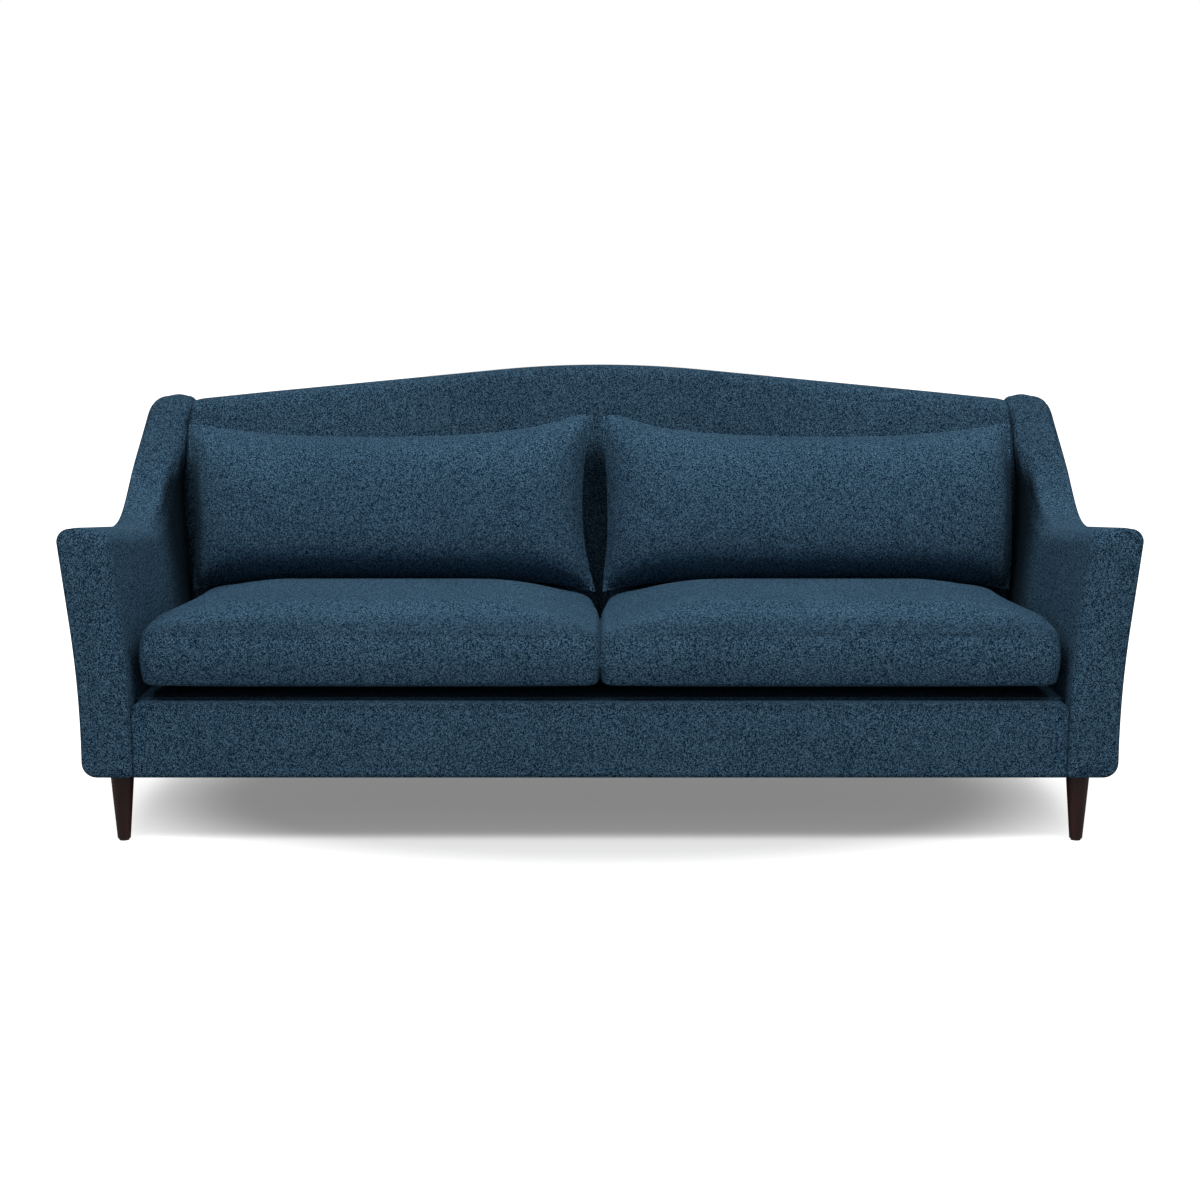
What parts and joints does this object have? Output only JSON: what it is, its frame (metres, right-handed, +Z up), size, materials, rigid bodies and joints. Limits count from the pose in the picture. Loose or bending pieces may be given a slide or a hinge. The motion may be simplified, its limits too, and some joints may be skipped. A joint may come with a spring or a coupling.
{
  "type": "two-seat sofa",
  "caption": "Upholstered sofa with flared arms that sweep up into wings, a camel back, loose boxed seat cushions, loose back cushions and turned tapered legs.",
  "frame": {"origin": "on the floor, under the middle of the sofa's overall box", "axes": "+Z up, -Y towards the front where a sitter's knees are, +X to the right of a viewer who faces the sofa"},
  "size_m": [2.1478, 0.94, 0.9319],
  "materials": {
    "leg_wood": "dark stained, satin",
    "zinc_steel": "zinc plated",
    "glide_nylon": "moulded nylon",
    "frame_wood": "planed, unfinished",
    "spring_steel": "oiled spring wire",
    "webbing": "woven elastic webbing",
    "wadding": "fibre wadding over foam",
    "sofa_cloth": "heathered blue weave",
    "cushion_cloth": "heathered blue weave",
    "black_cambric": "non-woven",
    "foam": "polyurethane foam",
    "fibre_fill": "blown fibre in a liner",
    "zip_tape": "woven tape with nylon coil",
    "zip_metal": "dark plated"
  },
  "bodies": {
    "sofa_frame": {"front_left_leg": "leg_wood", "front_right_leg": "leg_wood", "rear_left_leg": "leg_wood", "rear_right_leg": "leg_wood", "leg_hanger_bolts": "zinc_steel", "leg_tee_nuts": "zinc_steel", "corner_block_screws": "zinc_steel", "arm_lag_screws": "zinc_steel", "spring_clips": "zinc_steel", "leg_glides": "glide_nylon", "centre_seat_stretcher": "frame_wood", "corner_blocks": "frame_wood", "front_seat_rail": "frame_wood", "rear_seat_rail": "frame_wood", "left_seat_rail": "frame_wood", "right_seat_rail": "frame_wood", "left_arm_bottom_rail": "frame_wood", "left_arm_front_post": "frame_wood", "left_arm_rear_post": "frame_wood", "left_arm_top_rail": "frame_wood", "right_arm_bottom_rail": "frame_wood", "right_arm_front_post": "frame_wood", "right_arm_rear_post": "frame_wood", "right_arm_top_rail": "frame_wood", "back_top_rail": "frame_wood", "back_bottom_rail": "frame_wood", "centre_back_stile": "frame_wood", "left_back_stile": "frame_wood", "right_back_stile": "frame_wood", "seat_springs": "spring_steel", "back_webbing": "webbing", "back_pad": "wadding", "front_rail_pad": "wadding", "seat_deck_pad": "wadding", "left_arm_pad": "wadding", "right_arm_pad": "wadding", "back_outside_cover": "sofa_cloth", "back_inside_cover": "sofa_cloth", "front_rail_cover": "sofa_cloth", "seat_deck_cloth": "sofa_cloth", "left_arm_cover": "sofa_cloth", "right_arm_cover": "sofa_cloth", "dust_cover": "black_cambric"},
    "left_seat_cushion": {"left_seat_cushion_cover": "cushion_cloth", "left_seat_cushion_filling": "foam", "left_seat_cushion_zip": "zip_tape"},
    "left_seat_slider": {"left_seat_zip_slider": "zip_metal"},
    "left_back_cushion": {"left_back_cushion_cover": "cushion_cloth", "left_back_cushion_filling": "fibre_fill", "left_back_cushion_zip": "zip_tape"},
    "left_back_slider": {"left_back_zip_slider": "zip_metal"},
    "right_seat_cushion": {"right_seat_cushion_cover": "cushion_cloth", "right_seat_cushion_filling": "foam", "right_seat_cushion_zip": "zip_tape"},
    "right_seat_slider": {"right_seat_zip_slider": "zip_metal"},
    "right_back_cushion": {"right_back_cushion_cover": "cushion_cloth", "right_back_cushion_filling": "fibre_fill", "right_back_cushion_zip": "zip_tape"},
    "right_back_slider": {"right_back_zip_slider": "zip_metal"}
  },
  "joints": [
    {"name": "left_seat_cushion_pull_out", "type": "slide", "parent": "sofa_frame", "child": "left_seat_cushion", "axis": [0, -1, 0], "range_m": [0, 0.7]},
    {"name": "left_seat_zip_run", "type": "slide", "parent": "left_seat_cushion", "child": "left_seat_slider", "axis": [-1, 0, 0], "range_m": [0, 0.732]},
    {"name": "left_back_cushion_lift_off", "type": "slide", "parent": "sofa_frame", "child": "left_back_cushion", "axis": [0, 0, 1], "range_m": [0, 0.5]},
    {"name": "left_back_zip_run", "type": "slide", "parent": "left_back_cushion", "child": "left_back_slider", "axis": [-1, 0, 0], "range_m": [0, 0.532]},
    {"name": "right_seat_cushion_pull_out", "type": "slide", "parent": "sofa_frame", "child": "right_seat_cushion", "axis": [0, -1, 0], "range_m": [0, 0.7]},
    {"name": "right_seat_zip_run", "type": "slide", "parent": "right_seat_cushion", "child": "right_seat_slider", "axis": [1, 0, 0], "range_m": [0, 0.732]},
    {"name": "right_back_cushion_lift_off", "type": "slide", "parent": "sofa_frame", "child": "right_back_cushion", "axis": [0, 0, 1], "range_m": [0, 0.5]},
    {"name": "right_back_zip_run", "type": "slide", "parent": "right_back_cushion", "child": "right_back_slider", "axis": [1, 0, 0], "range_m": [0, 0.532]}
  ]
}
